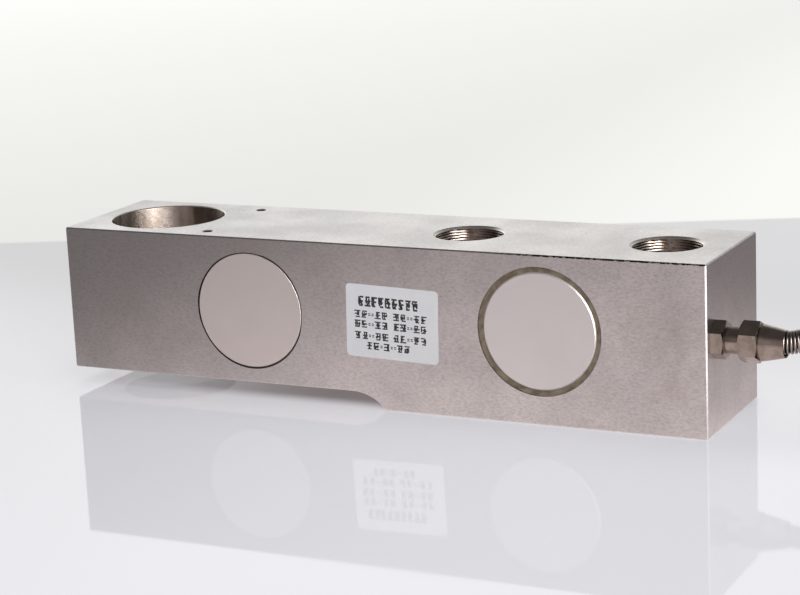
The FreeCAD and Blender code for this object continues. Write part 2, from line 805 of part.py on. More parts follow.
def make_core(across, up, length, aside):
    """One stripped core: inside the sleeve, then fanned out and down onto the surface."""
    along = tail_direction()
    sideways = Z.cross(along).normalize()
    upwards = along.cross(sideways)
    start = FreeCAD.Vector(*tail_points[-1]) + sideways * across + upwards * up
    inside = sleeve_length - sleeve_overlap
    rest = core_diameter / 2
    bend = start + along * (inside + 3.0)
    landing = start + along * (length * 0.62) + sideways * (aside * 0.42)
    landing.z = rest + 0.05
    end = start + along * length + sideways * aside
    end.z = rest
    return route_tube([tuple(p) for p in (start, bend, landing, end)], rest)[0]


# ---- label --------------------------------------------------------------------------------------
def make_label():
    plate = rounded_plate(label_width, label_height, label_corner, label_thickness)
    plate.rotate(vec(0, 0, 0), Y, -label_turn)
    plate.translate(vec(label_x, front_y - label_thickness, label_z))
    return plate


# ---- all nodes ----------------------------------------------------------------------------------
def make_nodes():
    nodes = {"beam": make_beam()}
    nodes["front_gauge_cover"] = make_gauge_cover(front_y, Y)
    nodes["rear_gauge_cover"] = make_gauge_cover(rear_y, -Y)
    nodes["front_gauge_sealant"] = make_gauge_sealant(front_y, Y)
    nodes["rear_gauge_sealant"] = make_gauge_sealant(rear_y, -Y)
    nodes["wiring_cover"] = make_wiring_cover()
    nodes["wiring_sealant"] = make_wiring_sealant()

    half_column = terminal_columns / 2
    for name, side, columns in (("front", -1, (-half_column, half_column)), ("rear", 1, (0,))):
        gauge = make_gauge(side)
        nodes[f"{name}_shear_gauge"] = gauge
        nodes[f"{name}_gauge_coating"] = make_coating(side, gauge)
        nodes[f"{name}_gauge_terminals"] = make_terminals(side, columns)
    nodes["rear_gauge_wires"] = make_rear_wires()
    nodes["bridge_wires"] = make_bridge_wires()

    nodes["board_adhesive_pad"] = make_board_pad()
    nodes["compensation_board"] = make_board()
    nodes["board_solder_pins"] = make_board_pins()
    nodes["trim_resistors"] = make_trim_resistors()
    nodes["temperature_compensator"] = make_compensator()
    nodes["inner_cores"] = make_inner_cores()

    nodes["gland_o_ring"] = make_o_ring()
    nodes["gland_body"] = make_gland_body()
    nodes["gland_seal_bush"] = make_seal_bush()
    nodes["gland_thrust_washer"] = make_thrust_washer()
    nodes["gland_nut"] = make_gland_nut()

    route = cable_route()
    nodes["strain_relief_spring"] = make_spring(route)
    nodes["cable_lead_in"] = make_lead_in()
    nodes["cable_ferrule"] = make_ferrule()
    cable, cable_length, radii = route_tube(route, cable_radius)
    report_route("cable", cable, cable_length, radii, cable_radius)
    tail, tail_length, radii = route_tube(tail_points, cable_radius)
    report_route("cable_tail", tail, tail_length, radii, cable_radius)
    nodes["cable"] = cable
    nodes["cable_tail"] = tail
    nodes["cable_coil"] = make_hank()
    for letter, tie in zip("abc", make_ties()):
        nodes[f"coil_tie_{letter}"] = tie
    nodes["end_sleeve"] = make_end_sleeve()
    for name, across, up, length, aside in core_fan:
        nodes[name] = make_core(across, up, length, aside)
    nodes["wiring_label"] = make_label()
    return nodes


def main():
    os.makedirs("parts", exist_ok=True)
    for name, shape in make_nodes().items():
        if not shape.isValid():
            print("not valid:", name)
        shape.exportStep(f"parts/{name}.step")


main()
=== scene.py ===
import math

import bpy
import numpy as np
from mathutils import Matrix, Vector


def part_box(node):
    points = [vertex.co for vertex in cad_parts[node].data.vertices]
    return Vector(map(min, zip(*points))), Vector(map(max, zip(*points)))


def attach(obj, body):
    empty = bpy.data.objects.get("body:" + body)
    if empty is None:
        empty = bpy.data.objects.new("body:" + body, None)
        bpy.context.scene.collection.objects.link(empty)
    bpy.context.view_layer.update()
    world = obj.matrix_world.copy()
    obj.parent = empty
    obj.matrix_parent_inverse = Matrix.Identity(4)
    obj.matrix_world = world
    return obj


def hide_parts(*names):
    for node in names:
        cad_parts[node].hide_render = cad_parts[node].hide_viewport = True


# The load cell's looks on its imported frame. Lengths in the dictionaries are in millimetres,
# everything placed in the scene is in metres, and a noise's scale is in waves per metre.
mm = 0.001
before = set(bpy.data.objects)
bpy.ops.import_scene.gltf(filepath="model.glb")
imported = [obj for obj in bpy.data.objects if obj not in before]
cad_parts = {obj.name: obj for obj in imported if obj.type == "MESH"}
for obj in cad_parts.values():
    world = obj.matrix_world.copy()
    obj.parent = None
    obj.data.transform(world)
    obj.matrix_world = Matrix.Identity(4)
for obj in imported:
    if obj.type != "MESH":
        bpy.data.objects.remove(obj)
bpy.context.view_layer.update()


# viewpoint
viewpoint = {
    "place": (323.6, -793.7, 248.7),
    "turnLeft": 26.57,     # degrees from looking straight at the front face
    "lookDown": 13.33,
    "roll": -2.6,
    "lens": 101.3,         # on a 36 mm wide sensor
    "clip": (20.0, 20000.0),
}


def placeCamera(settings):
    data = bpy.data.cameras.new("viewCamera")
    data.lens = settings["lens"]
    data.clip_start, data.clip_end = vectorMm(settings["clip"])
    camera = bpy.data.objects.new("viewCamera", data)
    bpy.context.collection.objects.link(camera)
    turn = Matrix.Rotation(math.radians(settings["turnLeft"]), 4, "Z")
    tilt = Matrix.Rotation(math.radians(90 - settings["lookDown"]), 4, "X")
    roll = Matrix.Rotation(math.radians(settings["roll"]), 4, "Z")
    place = Matrix.Translation(vectorMm(settings["place"]))
    camera.matrix_world = place @ turn @ tilt @ roll
    bpy.context.scene.camera = camera


# lengths
def vectorMm(values):
    return tuple(value * mm for value in values)


def beside(edge, reach):
    # places at given distances from an edge
    return tuple(edge + value * mm for value in reach)


# shader helpers
def feed(tree, socket, value):
    if isinstance(value, bpy.types.NodeSocket):
        tree.links.new(value, socket)
    else:
        socket.default_value = value


def add(tree, kind, sockets=None, **settings):
    made = tree.nodes.new("ShaderNode" + kind)
    for key, value in settings.items():
        setattr(made, key, value)
    for key, value in (sockets or {}).items():
        feed(tree, made.inputs[key], value)
    return made


def maths(tree, operation, first, second=0.0, clamp=False):
    return add(tree, "Math", {0: first, 1: second}, operation=operation, use_clamp=clamp).outputs[0]


def plus(tree, first, second):
    return maths(tree, "ADD", first, second)


def minus(tree, first, second, clamp=False):
    return maths(tree, "SUBTRACT", first, second, clamp)


def times(tree, first, second, clamp=False):
    return maths(tree, "MULTIPLY", first, second, clamp)


def farFrom(tree, across, up):
    # length of a flat vector
    return maths(tree, "SQRT", plus(tree, times(tree, across, across), times(tree, up, up)))


def vectorMaths(tree, operation, first, second):
    return add(tree, "VectorMath", {0: first, 1: second}, operation=operation).outputs


def split(tree, vector):
    return add(tree, "SeparateXYZ", {0: vector}).outputs


def blend(tree, amount, first, second):
    # number: first where amount is 0, second where it is 1
    return add(tree, "Mix", {0: amount, 2: first, 3: second}).outputs[0]


def blendColours(tree, amount, first, second):
    # colour: first where amount is 0, second where it is 1
    mix = add(tree, "Mix", {0: amount}, data_type="RGBA")
    for index, value in ((6, first), (7, second)):
        constant = not isinstance(value, bpy.types.NodeSocket)
        feed(tree, mix.inputs[index], (*value[:3], 1.0) if constant else value)
    return mix.outputs[2]


def spread(tree, value, low, high, outLow=0.0, outHigh=1.0):
    # value from low..high carried to outLow..outHigh, smooth at both ends
    return add(tree, "MapRange", {0: value, 1: low, 2: high, 3: outLow, 4: outHigh},
               interpolation_type="SMOOTHSTEP").outputs[0]


def between(tree, value, start, end):
    # rises to 1 over the start pair and falls back to 0 over the end pair
    return times(tree, spread(tree, value, *start), spread(tree, value, *end, 1.0, 0.0))


def noise(tree, place, scale, **sockets):
    return add(tree, "TexNoise", {"Vector": place, "Scale": scale, **sockets}).outputs[0]


def objectPlace(tree):
    return add(tree, "TexCoord").outputs["Object"]


def newMaterial(name, colour, roughness, metallic=0.0):
    made = bpy.data.materials.new(name)
    made.use_nodes = True
    tree = made.node_tree
    tree.nodes.clear()
    out = tree.nodes.new("ShaderNodeOutputMaterial")
    shader = tree.nodes.new("ShaderNodeBsdfPrincipled")
    tree.links.new(shader.outputs[0], out.inputs[0])
    shader.inputs["Base Color"].default_value = (*colour, 1.0)
    shader.inputs["Roughness"].default_value = roughness
    shader.inputs["Metallic"].default_value = metallic
    return made, tree, shader


def bumpFrom(tree, shader, height, distance):
    bump = add(tree, "Bump", {"Height": height, "Strength": 1.0, "Distance": distance})
    tree.links.new(bump.outputs[0], shader.inputs["Normal"])


def effectGroup(name, inputs, outputs):
    group = bpy.data.node_groups.new(name, "ShaderNodeTree")
    for side, sockets in (("INPUT", inputs), ("OUTPUT", outputs)):
        for label, kind in sockets:
            group.interface.new_socket(label, in_out=side, socket_type="NodeSocket" + kind)
    return group, group.nodes.new("NodeGroupInput").outputs, group.nodes.new("NodeGroupOutput")


def useGroup(tree, group, **sockets):
    placed = tree.nodes.new("ShaderNodeGroup")
    placed.node_tree = group
    for key, value in sockets.items():
        feed(tree, placed.inputs[key], value)
    return placed.outputs


# shared effects
edgeBreaks = {
    "scale": 400.0,
    "noise": (0.3, 0.75),
    "width": (0.35, 1.4),      # share of the edge's width over that noise
}

speckLevels = {
    "none": 0.78,              # noise above which a speck begins, for an amount of 0
    "drop": 0.25,              # how much lower it begins for an amount of 1
    "sharpness": 12.0,
}

feedMarks = {
    "skin": 0.03,              # how far beyond its radius a bore's wall still counts
    "bandNoiseScale": 2.2,
    "wobble": 5.0,             # how far a ring strays, in radians of its wave
}


def makeGrain():
    # noise squeezed across the grain: fine streaks, and broad cloudy patches of the same surface
    group, given, result = effectGroup(
        "metalGrain", (("Place", "Vector"), ("Stretch", "Vector"), ("Cloud", "Float")),
        (("Streak", "Float"), ("Patch", "Float")))
    squeezed = vectorMaths(group, "MULTIPLY", given["Place"], given["Stretch"])[0]
    streak = noise(group, squeezed, 1.0, Detail=4.0, Roughness=0.65)
    patch = noise(group, given["Place"], given["Cloud"], Detail=3.0, Roughness=0.55)
    group.links.new(streak, result.inputs["Streak"])
    group.links.new(patch, result.inputs["Patch"])
    return group


def makeEdgeWearAndHighlight(settings):
    # distance to the second nearest wall of a box, so that it is small only along the edges: the
    # mask of the bar's worn edges and of their painted highlight
    group, given, result = effectGroup(
        "edgeWearAndHighlight", (("Place", "Vector"), ("Low", "Vector"), ("High", "Vector"),
                     ("Width", "Float")), (("Mask", "Float"),))
    fromLow = vectorMaths(group, "SUBTRACT", given["Place"], given["Low"])[0]
    fromHigh = vectorMaths(group, "SUBTRACT", given["High"], given["Place"])[0]
    x, y, z = split(group, vectorMaths(group, "MINIMUM", fromLow, fromHigh)[0])
    small, large = maths(group, "MINIMUM", x, y), maths(group, "MAXIMUM", x, y)
    second = maths(group, "MAXIMUM", small, maths(group, "MINIMUM", large, z))
    broken = noise(group, given["Place"], settings["scale"], Detail=3.0)
    reach = times(group, given["Width"],
                  spread(group, broken, *settings["noise"], *settings["width"]))
    mask = minus(group, 1.0, maths(group, "DIVIDE", second, reach), clamp=True)
    group.links.new(mask, result.inputs["Mask"])
    return group


def makeSpeckle(settings):
    # small separate specks, such as dust, pores and pits
    group, given, result = effectGroup(
        "speckle", (("Place", "Vector"), ("Scale", "Float"), ("Amount", "Float")),
        (("Mask", "Float"),))
    spots = noise(group, given["Place"], given["Scale"], Detail=2.0, Roughness=0.7)
    level = minus(group, settings["none"], times(group, given["Amount"], settings["drop"]))
    mask = times(group, minus(group, spots, level), settings["sharpness"], clamp=True)
    group.links.new(mask, result.inputs["Mask"])
    return group


def makeBoreMarks(settings):
    # wall of a round hole along Z: rings left by the drill's feed, and a noise round it that bends
    # the rings and also places the painted bands of light and shade
    group, given, result = effectGroup(
        "boreMarks", (("Place", "Vector"), ("Centre", "Vector"), ("Radius", "Float"),
                      ("Pitch", "Float"), ("Rim", "Float"), ("Mottle", "Float")),
        (("Mask", "Float"), ("Rings", "Float"), ("BandNoise", "Float"), ("Rim", "Float")))
    x, y, z = split(group, vectorMaths(group, "SUBTRACT", given["Place"], given["Centre"])[0])
    radial = farFrom(group, x, y)
    inside = maths(group, "LESS_THAN", radial,
                   plus(group, given["Radius"], settings["skin"] * mm))
    nearby = maths(group, "LESS_THAN", radial, plus(group, given["Radius"], given["Rim"]))
    unrolled = add(group, "CombineXYZ", {0: maths(group, "ARCTAN2", y, x),
                                         1: times(group, z, given["Mottle"])}).outputs[0]
    bandNoise = noise(group, unrolled, settings["bandNoiseScale"], Detail=3.0)
    turns = times(group, maths(group, "DIVIDE", z, given["Pitch"]), 2 * math.pi)
    rings = maths(group, "SINE", plus(group, times(group, bandNoise, settings["wobble"]), turns))
    group.links.new(inside, result.inputs["Mask"])
    group.links.new(minus(group, nearby, inside), result.inputs["Rim"])
    group.links.new(rings, result.inputs["Rings"])
    group.links.new(bandNoise, result.inputs["BandNoise"])
    return group


metalGrain, edgeWearAndHighlight = makeGrain(), makeEdgeWearAndHighlight(edgeBreaks)
speckle, boreMarks = makeSpeckle(speckLevels), makeBoreMarks(feedMarks)


# the table, which turns into a pale backdrop behind the cell
table = {
    "radius": 2200.0,
    "rings": 25,
    "crowding": 1.5,                   # how much closer the rings lie near the middle
    "spokes": 96,
    "tone": (0.42, 0.42, 0.435),
    "backTone": (0.42, 0.42, 0.415),
    "ior": 1.36,
    "gloss": (0.025, 0.06),
    "glossClouds": 9.0,
    "glossNoise": (0.3, 0.7),
    "shine": (0.30, 0.46),             # specular level, at the left and at the right
    "shineAcross": (-300.0, 0.0),
    "farShine": 0.25,                  # share of it far away
    "farAway": (-60.0, 220.0),         # along Y
    "backStart": (345.0, 353.0),       # where the table ends, measured square to its edge
    "backTurn": 22.7,                  # degrees from the bar's length to that edge
    "allRound": (700.0, 1300.0),       # distance at which it ends on every side
    "glow": ((0.37, 0.37, 0.395), (0.20, 0.205, 0.21)),       # of its own, near and far
    "backGlow": (0.45, 0.455, 0.43),
    "leftGlow": 0.57,                  # share of the glow left at the far left
    "leftAcross": (-340.0, 60.0),
    # no glow under the bar, which paints a shadow there: how far from its ends, and from its faces,
    # that fades in and out
    "coverAcross": ((0.0, 120.0), (-10.0, 2.0)),
    "coverDeep": ((-1.0, 12.0), (-12.0, 2.0)),
}

warmTone = (1.0, 0.885, 0.89)          # of what metal sees in front of the cell

# how bright metal sees the table: a painted reflection in place of its lit look
tableInMetal = {
    "front": (0.34, 0.87),             # from left to right
    "frontAcross": (-320.0, -90.0),
    "near": (0.80, 1.04),              # share of it, from far in front to near
    "nearDeep": (-280.0, -50.0),
    "behind": (0.70, 0.25),            # from near to far
    "behindDeep": (30.0, 250.0),
    "middle": (-30.0, 30.0),           # where front turns into behind, along Y
    "window": 2.2,                     # a painted pool of light, added where the window would light it
    "windowSpot": (255.0, -95.0, 0.0),
    "windowReach": (41.25, 165.0),
}


def metalGlow(tree, place, settings):
    # brightness and colour of the table as metal sees it: a painted reflection
    x, y, _ = split(tree, place)
    across, deep = vectorMm(settings["frontAcross"]), vectorMm(settings["nearDeep"])
    front = times(tree, spread(tree, x, *across, *settings["front"]),
                  spread(tree, y, *deep, *settings["near"]))
    behind = spread(tree, y, *vectorMm(settings["behindDeep"]), *settings["behind"])
    level = blend(tree, spread(tree, y, *vectorMm(settings["middle"])), front, behind)
    away = vectorMaths(tree, "DISTANCE", place, vectorMm(settings["windowSpot"]))["Value"]
    lit = spread(tree, away, *vectorMm(settings["windowReach"]), 1.0, 0.0)
    level = plus(tree, level, times(tree, lit, settings["window"]))
    return level, blendColours(tree, lit, warmTone, (1.0, 1.0, 1.0))


def makeTable(settings, inMetal):
    # a disc on a polar grid: radius grows with the first parameter, angle with the second
    rings = np.linspace(0.0, 1.0, settings["rings"]) ** settings["crowding"]
    spokes = np.linspace(0, 2 * np.pi, settings["spokes"] + 1)[:-1]
    radius, angle = np.meshgrid(rings * settings["radius"] * mm, spokes, indexing="ij")
    points = np.stack([radius * np.cos(angle), radius * np.sin(angle), 0 * angle], -1)
    obj = gridMesh("studioFloor", points[1:], wrap=True, caps=(0,))
    made, tree, shader = newMaterial("paleFloor", settings["tone"], settings["gloss"][0])
    shader.inputs["IOR"].default_value = settings["ior"]
    place = objectPlace(tree)
    x, y, _ = split(tree, place)
    turn = math.radians(settings["backTurn"])
    along = vectorMaths(tree, "DOT_PRODUCT", place,
                        (-math.sin(turn), math.cos(turn), 0.0))["Value"]
    around = add(tree, "VectorMath", {0: place}, operation="LENGTH").outputs["Value"]
    ended = maths(tree, "MAXIMUM", spread(tree, along, *vectorMm(settings["backStart"])),
                  spread(tree, around, *vectorMm(settings["allRound"])))
    farther = maths(tree, "MAXIMUM", ended, spread(tree, y, *vectorMm(settings["farAway"])))
    shine = times(tree, spread(tree, x, *vectorMm(settings["shineAcross"]), *settings["shine"]),
                  spread(tree, farther, 0.0, 1.0, 1.0, settings["farShine"]))
    tree.links.new(shine, shader.inputs["Specular IOR Level"])
    tree.links.new(blendColours(tree, ended, settings["tone"], settings["backTone"]),
                   shader.inputs["Base Color"])
    soft = noise(tree, place, settings["glossClouds"], Detail=2.0)
    tree.links.new(spread(tree, soft, *settings["glossNoise"], *settings["gloss"]),
                   shader.inputs["Roughness"])
    # it glows a little of itself, dimmer far away and at the far left, though not where the bar
    # covers it: a painted shadow under the bar
    low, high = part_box("beam")
    (left, right), (face, rear) = settings["coverAcross"], settings["coverDeep"]
    shadowUnderBar = times(tree, between(tree, x, beside(low[0], left), beside(high[0], right)),
                    between(tree, y, beside(low[1], face), beside(high[1], rear)))
    path = add(tree, "LightPath").outputs
    bared = times(tree, path["Is Camera Ray"], minus(tree, 1.0, shadowUnderBar))
    share = times(tree, spread(tree, x, *vectorMm(settings["leftAcross"]),
                               settings["leftGlow"], 1.0), bared)
    own = blendColours(tree, farther, *settings["glow"])
    glow = add(tree, "Emission", {"Color": blendColours(tree, ended, own, settings["backGlow"]),
                                  "Strength": share})
    lit = add(tree, "AddShader", {0: shader.outputs[0], 1: glow.outputs[0]})
    # metal sees the table's painted reflection, not its lit look
    level, tint = metalGlow(tree, place, inMetal)
    seen = add(tree, "Emission", {"Color": tint, "Strength": level})
    both = add(tree, "MixShader", {0: path["Is Glossy Ray"], 1: lit.outputs[0],
                                   2: seen.outputs[0]})
    out = next(node for node in tree.nodes if node.type == "OUTPUT_MATERIAL")
    tree.links.new(both.outputs[0], out.inputs[0])
    obj.data.materials.append(made)


# the room: metal sees a bright wall behind the cell and a dim space in front, dimmest on the left
room = {
    "toCamera": 0.905,
    "light": 0.60,
    "tone": (1.0, 0.99, 0.98),
    # in metal, over the direction that it sees
    "front": (0.10, 0.62),
    "frontAcross": (-0.9, 0.7),
    "back": (1.36, 0.45),
    "backAcross": (-0.7, 0.6),
    "backDeep": (-0.25, 0.5),
    "above": 0.12,
    "aboveFrom": (0.4, 0.85),
    "windowWay": (0.85, -0.43, 0.33),
    "windowEdge": (0.86, 0.97),        # cosine of the angle to it
    "window": 7.6,
    "windowAgain": 0.6,                # where that metal is itself seen in the table
}


def makeRoom(settings):
    world = bpy.data.worlds.new("studioSky")
    bpy.context.scene.world = world
    world.use_nodes = True
    tree = world.node_tree
    tree.nodes.clear()
    path = add(tree, "LightPath").outputs
    way = add(tree, "TexCoord").outputs["Generated"]
    x, y, z = split(tree, way)
    front = spread(tree, x, *settings["frontAcross"], *settings["front"])
    back = spread(tree, x, *settings["backAcross"], *settings["back"])
    behind = spread(tree, y, *settings["backDeep"])
    around = blend(tree, behind, front, back)
    walls = blend(tree, spread(tree, z, *settings["aboveFrom"]), around, settings["above"])
    aim = tuple(Vector(settings["windowWay"]).normalized())
    facing = vectorMaths(tree, "DOT_PRODUCT", way, aim)["Value"]
    window = spread(tree, facing, *settings["windowEdge"])
    direct = maths(tree, "LESS_THAN", path["Glossy Depth"], 1.5)    # one mirror on the way
    bright = blend(tree, direct, settings["windowAgain"], settings["window"])
    inMetal = plus(tree, walls, times(tree, window, bright))
    camera, metal = path["Is Camera Ray"], path["Is Glossy Ray"]
    other = minus(tree, 1.0, plus(tree, camera, metal), clamp=True)
    level = plus(tree, plus(tree, times(tree, camera, settings["toCamera"]),
                            times(tree, metal, inMetal)),
                 times(tree, other, settings["light"]))
    plain = settings["tone"]
    warm = blendColours(tree, maths(tree, "MAXIMUM", behind, window), warmTone, plain)
    sky = add(tree, "Background", {"Color": blendColours(tree, metal, plain, warm),
                                   "Strength": level})
    add(tree, "OutputWorld", {"Surface": sky.outputs[0]})


lamps = {
    "overhead": {"place": (-250, 250, 1300), "aim": (0, 0, 0), "size": 1100, "power": 5.0},
    "leftFront": {"place": (-1000, -900, 700), "aim": (-60, 0, 30), "size": 600, "power": 1.5},
    "rightFront": {"place": (900, -1000, 800), "aim": (60, 0, 0), "size": 500, "power": 3.6},
}


def placeLamps(settings):
    for name, lamp in settings.items():
        data = bpy.data.lights.new(name, "AREA")
        data.shape, data.size, data.energy = "SQUARE", lamp["size"] * mm, lamp["power"]
        obj = bpy.data.objects.new(name, data)
        obj.visible_glossy = False     # metal sees the room's own window instead
        place, aim = Vector(lamp["place"]) * mm, Vector(lamp["aim"]) * mm
        obj.matrix_world = Matrix.Translation(place) @ (aim - place).to_track_quat(
            "-Z", "Y").to_matrix().to_4x4()
        bpy.context.collection.objects.link(obj)


# meshes worked out on grids
def gridMesh(name, points, wrap=False, caps=()):
    # points[i, j]: faces join each point to the next in both directions; wrap closes j, and caps
    # names the rows, first (0) or last (-1), that get one flat face
    rows, columns = points.shape[:2]
    number = np.arange(rows * columns).reshape(rows, columns)
    if wrap:
        number = np.concatenate([number, number[:, :1]], 1)
    quads = np.stack([number[:-1, :-1], number[1:, :-1], number[1:, 1:], number[:-1, 1:]], -1)
    faces = quads.reshape(-1, 4).tolist()
    for row in caps:
        faces.append(number[row, :columns][::1 if row == 0 else -1].tolist())
    mesh = bpy.data.meshes.new(name)
    mesh.from_pydata(points.reshape(-1, 3), [], faces)
    mesh.validate()
    mesh.shade_smooth()
    obj = bpy.data.objects.new(name, mesh)
    bpy.context.collection.objects.link(obj)
    return obj


# the cable
cable = {
    "diameter": 6.0,
    "length": 5000.0,
    "lead": ((83.475, -21.8, 36.7), (95.175, -21.8, 36.7), (122.53, -11.84, 43.96),
             (150.0, -3.0, 43.2), (174.0, 7.0, 36.0), (192.0, 15.5, 27.0), (206.0, 20.5, 21.2)),
    "hankCentre": (194.0, 0.0),
    "run": 103.0,          # straight stretch of a turn, between its two folds
    "layers": ((19.9, (21, 27, 33)), (14.6, (36, 30, 24, 18)), (9.3, (21, 27, 33)),
               (4.0, (36, 30, 24, 18))),     # height of a layer, and its turns' radii in order
    "pointsPerTurn": 24,
    "hankFrom": 0.19,      # part of a turn, counted from the start of the run on the far side
    "tail": ((155.0, 15.4, 3.6), (166.0, 11.0, 3.0), (182.0, 6.6, 3.0), (198.0, 2.4, 3.3),
             (212.0, 1.0, 3.7)),
    "lineSteps": 5,
    "roundSteps": 4,
    # the jacket: satin plastic with fine pebbling, and dusty scuffs where it has been handled
    "tone": (0.040, 0.040, 0.044),
    "toneOther": (0.070, 0.069, 0.070),
    "dustTone": (0.20, 0.19, 0.18),
    "dust": {"Scale": 900.0, "Amount": 0.5},
    "dustShare": 0.35,
    "roughness": (0.36, 0.50),
    "roughNoise": (0.3, 0.7),
    "pebbles": 1500.0,
    "pebbleHeight": 0.012,
    "scuffs": 60.0,
    "scuffNoise": (0.35, 0.7),
}


def hankPoints(settings):
    # a turn is run, fold, run, fold, a quarter of its points each: the fold's centre slides along
    # the runs, the angle turns at the folds, and radius and height ease over on the second run
    turns = [(radius, height) for height, row in settings["layers"] for radius in row]
    radii, heights = np.array(turns, float).T
    count = settings["pointsPerTurn"]
    travelled = np.arange(round(settings["hankFrom"] * count), (len(turns) - 1) * count + 1) / count
    part = travelled % 1.0
    quarters, half = (0, 0.25, 0.5, 0.75, 1), settings["run"] / 2
    centre = np.interp(part, quarters, (-half, half, half, -half, -half))
    angle = np.radians(np.interp(part, quarters, (90, 90, -90, -90, -270)))
    turn = np.floor(travelled + 0.5).astype(int).clip(1) - 1
    moved = np.clip((travelled - turn - 0.5) / 0.25, 0.0, 1.0)
    moved = moved * moved * (3 - 2 * moved)
    following = np.minimum(turn + 1, len(turns) - 1)
    radius = radii[turn] + (radii[following] - radii[turn]) * moved
    height = heights[turn] + (heights[following] - heights[turn]) * moved
    middleX, middleY = settings["hankCentre"]
    return np.stack([middleX + centre + radius * np.cos(angle), middleY + radius * np.sin(angle),
                     height], -1)


def makeCable(settings):
    points = np.concatenate([settings["lead"], hankPoints(settings), settings["tail"]]) * mm
    data = bpy.data.curves.new("cableCord", "CURVE")
    data.dimensions = "3D"
    spline = data.splines.new("NURBS")
    spline.points.add(len(points) - 1)
    spline.points.foreach_set("co", np.c_[points, np.ones(len(points))].ravel())
    spline.order_u = 3
    spline.use_endpoint_u = True
    spline.resolution_u = settings["lineSteps"]
    data.bevel_depth = settings["diameter"] / 2 * mm
    data.bevel_resolution = settings["roundSteps"]
    data.use_fill_caps = True
    obj = bpy.data.objects.new("cableCord", data)
    bpy.context.collection.objects.link(obj)
    return obj


def lengthOf(curveObject):
    # measured along the spline's own line, read from the curve with no bevel
    plain = curveObject.data.copy()
    plain.bevel_depth = 0.0
    plain.use_fill_caps = False
    helper = bpy.data.objects.new("line", plain)
    bpy.context.collection.objects.link(helper)
    depsgraph = bpy.context.evaluated_depsgraph_get()
    mesh = bpy.data.meshes.new_from_object(helper.evaluated_get(depsgraph))
    line = np.empty(len(mesh.vertices) * 3)
    mesh.vertices.foreach_get("co", line)
    bpy.data.objects.remove(helper)
    bpy.data.meshes.remove(mesh)
    return float(np.linalg.norm(np.diff(line.reshape(-1, 3), axis=0), axis=1).sum())


def jacketOfCable(settings):
    made, tree, shader = newMaterial("cableJacket", settings["tone"], settings["roughness"][0])
    place = objectPlace(tree)
    pebble = noise(tree, place, settings["pebbles"], Detail=2.0)
    patch = noise(tree, place, settings["scuffs"], Detail=4.0)
    dust = useGroup(tree, speckle, Place=place, **settings["dust"])["Mask"]
    colour = blendColours(tree, spread(tree, patch, *settings["scuffNoise"]), settings["tone"],
                          settings["toneOther"])
    colour = blendColours(tree, times(tree, dust, settings["dustShare"]), colour,
                          settings["dustTone"])
    tree.links.new(colour, shader.inputs["Base Color"])
    tree.links.new(spread(tree, patch, *settings["roughNoise"], *settings["roughness"]),
                   shader.inputs["Roughness"])
    bumpFrom(tree, shader, pebble, settings["pebbleHeight"] * mm)
    return made


# metals and plain solids
finishLook = {
    "patchNoise": (0.38, 0.66),
    "patch": 0.7,          # share of a metal's other tone in its patches
    "roughNoise": (0.3, 0.7),
    "specks": 1400.0,
    "speck": 0.5,          # share of the specks, and of the other tone in them
    "solidNoise": (0.35, 0.65),
}


def plainMetal(name, settings):
    # tone and roughness wander in clouds, fine streaks stand up a little, and specks are darker
    tone, other = settings["tones"]
    made, tree, shader = newMaterial(name, tone, settings["roughness"][0],
                                     settings.get("metallic", 1.0))
    place = objectPlace(tree)
    grain = useGroup(tree, metalGrain, Place=place, Stretch=settings["stretch"],
                     Cloud=settings["clouds"])
    patch = spread(tree, grain["Patch"], *finishLook["patchNoise"])
    colour = blendColours(tree, times(tree, patch, finishLook["patch"]), tone, other)
    specks = useGroup(tree, speckle, Place=place, Scale=finishLook["specks"],
                      Amount=settings.get("specks", 0.0))["Mask"]
    colour = blendColours(tree, times(tree, specks, finishLook["speck"]), colour,
                          tuple(finishLook["speck"] * part for part in other))
    tree.links.new(colour, shader.inputs["Base Color"])
    tree.links.new(spread(tree, grain["Patch"], *finishLook["roughNoise"],
                          *settings["roughness"]), shader.inputs["Roughness"])
    bumpFrom(tree, shader, grain["Streak"], settings["height"] * mm)
    return made


def plainSolid(name, settings):
    # tone wanders between two values in clouds, which also stand up a little
    tone, other = settings["tones"]
    made, tree, shader = newMaterial(name, tone, settings["roughness"])
    cloud = noise(tree, objectPlace(tree), settings["clouds"], Detail=3.0)
    tree.links.new(blendColours(tree, spread(tree, cloud, *finishLook["solidNoise"]), tone, other),
                   shader.inputs["Base Color"])
    bumpFrom(tree, shader, cloud, settings["height"] * mm)
    return made


# the guard spring
guardSpring = {
    "start": 87.1,         # along X, where the first turn sits in the nut
    "pivot": (95.175, -21.8, 36.7),
    "lean": (14.0, 20.0),  # degrees up, and towards the rear face
    "bend": 4.0,           # the line eases into the lean over about this much on either side
    "length": 33.6,
    "diameter": 8.8,
    "pitch": 1.28,
    "wire": 1.2,
    "stepsPerTurn": 24,
    "wireSides": 10,
    "finish": {"tones": ((0.32, 0.29, 0.265), (0.22, 0.19, 0.165)), "roughness": (0.24, 0.36),
               "stretch": (300, 300, 300), "clouds": 300.0, "height": 0.002},
}


